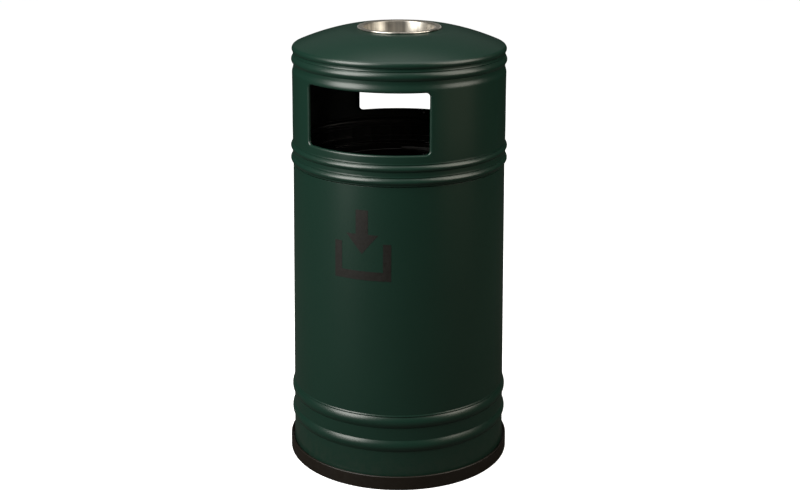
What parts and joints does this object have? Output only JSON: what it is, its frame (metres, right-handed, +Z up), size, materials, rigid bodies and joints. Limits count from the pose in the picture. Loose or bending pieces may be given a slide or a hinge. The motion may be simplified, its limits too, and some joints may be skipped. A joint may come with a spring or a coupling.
{
  "type": "litter bin",
  "caption": "Round steel street litter bin: hood with front and rear openings that tilts back on a hinge, domed lid with lift-out ashtray, lift-out liner with a bail.",
  "frame": {"origin": "on the floor, on the bin's vertical axis, in the underside of the base plate", "axes": "+Z up, -Y out of the front opening, +Y to the rear hinge, +X to the right seen from the front"},
  "size_m": [0.4654, 0.483, 0.918],
  "materials": {
    "green_paint": "satin dark green powder coat",
    "black_paint": "satin black paint",
    "base_plastic": "moulded, low sheen",
    "grip_plastic": "moulded, low sheen",
    "gasket_rubber": "matt",
    "sign_film": "matt vinyl film",
    "stainless": "turned and polished",
    "zinc": "zinc plated",
    "galvanised": "galvanised",
    "brass": "machined"
  },
  "bodies": {
    "root": {"body_shell": "green_paint", "base_plate": "galvanised", "base_ring": "base_plastic", "rim_gasket": "gasket_rubber", "latch_keeper": "zinc", "liner_guide_left": "galvanised", "liner_guide_right": "galvanised", "liner_guide_rear": "galvanised", "hinge_body_leaf": "green_paint", "hinge_pin": "zinc", "hinge_body_rivet_1": "zinc", "hinge_body_rivet_2": "zinc", "hinge_body_rivet_3": "zinc", "hinge_body_rivet_4": "zinc", "sign_arrow": "sign_film", "sign_tray": "sign_film"},
    "hood": {"hood_shell": "green_paint", "lid_dome": "green_paint", "hood_seat_ring": "black_paint", "ashtray_collar": "black_paint", "lid_bracket_1": "black_paint", "lid_bracket_2": "black_paint", "lid_bracket_3": "black_paint", "lid_bolt_1": "zinc", "lid_bolt_2": "zinc", "lid_bolt_3": "zinc", "lid_nut_1": "zinc", "lid_nut_2": "zinc", "lid_nut_3": "zinc", "hinge_hood_leaf": "green_paint", "hinge_hood_rivet_1": "zinc", "hinge_hood_rivet_2": "zinc", "hinge_hood_rivet_3": "zinc", "latch_bracket": "black_paint", "latch_barrel": "zinc", "latch_barrel_nut": "zinc"},
    "latch": {"latch_plug": "brass", "latch_cam": "zinc", "latch_cam_nut": "zinc"},
    "ashtray": {"ashtray_bowl": "stainless"},
    "liner": {"liner_shell": "black_paint", "liner_ear_left": "zinc", "liner_ear_right": "zinc", "liner_ear_rivet_left_1": "zinc", "liner_ear_rivet_left_2": "zinc", "liner_ear_rivet_right_1": "zinc", "liner_ear_rivet_right_2": "zinc", "bail_rest": "zinc"},
    "bail": {"bail_wire": "black_paint", "bail_grip": "grip_plastic"}
  },
  "joints": [
    {"name": "hood_tilt", "type": "hinge", "parent": "root", "child": "hood", "pos_m": [0, 0.241, 0.624], "axis": [-1, 0, 0], "range_deg": [0, 100]},
    {"name": "latch_turn", "type": "hinge", "parent": "hood", "child": "latch", "pos_m": [0, -0.2114, 0.64], "axis": [0, 0, 1], "range_deg": [0, 90]},
    {"name": "ashtray_lift", "type": "slide", "parent": "hood", "child": "ashtray", "axis": [0, 0, 1], "range_m": [0, 0.1]},
    {"name": "liner_lift", "type": "slide", "parent": "root", "child": "liner", "axis": [0, 0, 1], "range_m": [0, 0.2]},
    {"name": "bail_swing", "type": "hinge", "parent": "liner", "child": "bail", "pos_m": [0, 0, 0.606], "axis": [1, 0, 0], "range_deg": [0, 180]}
  ]
}
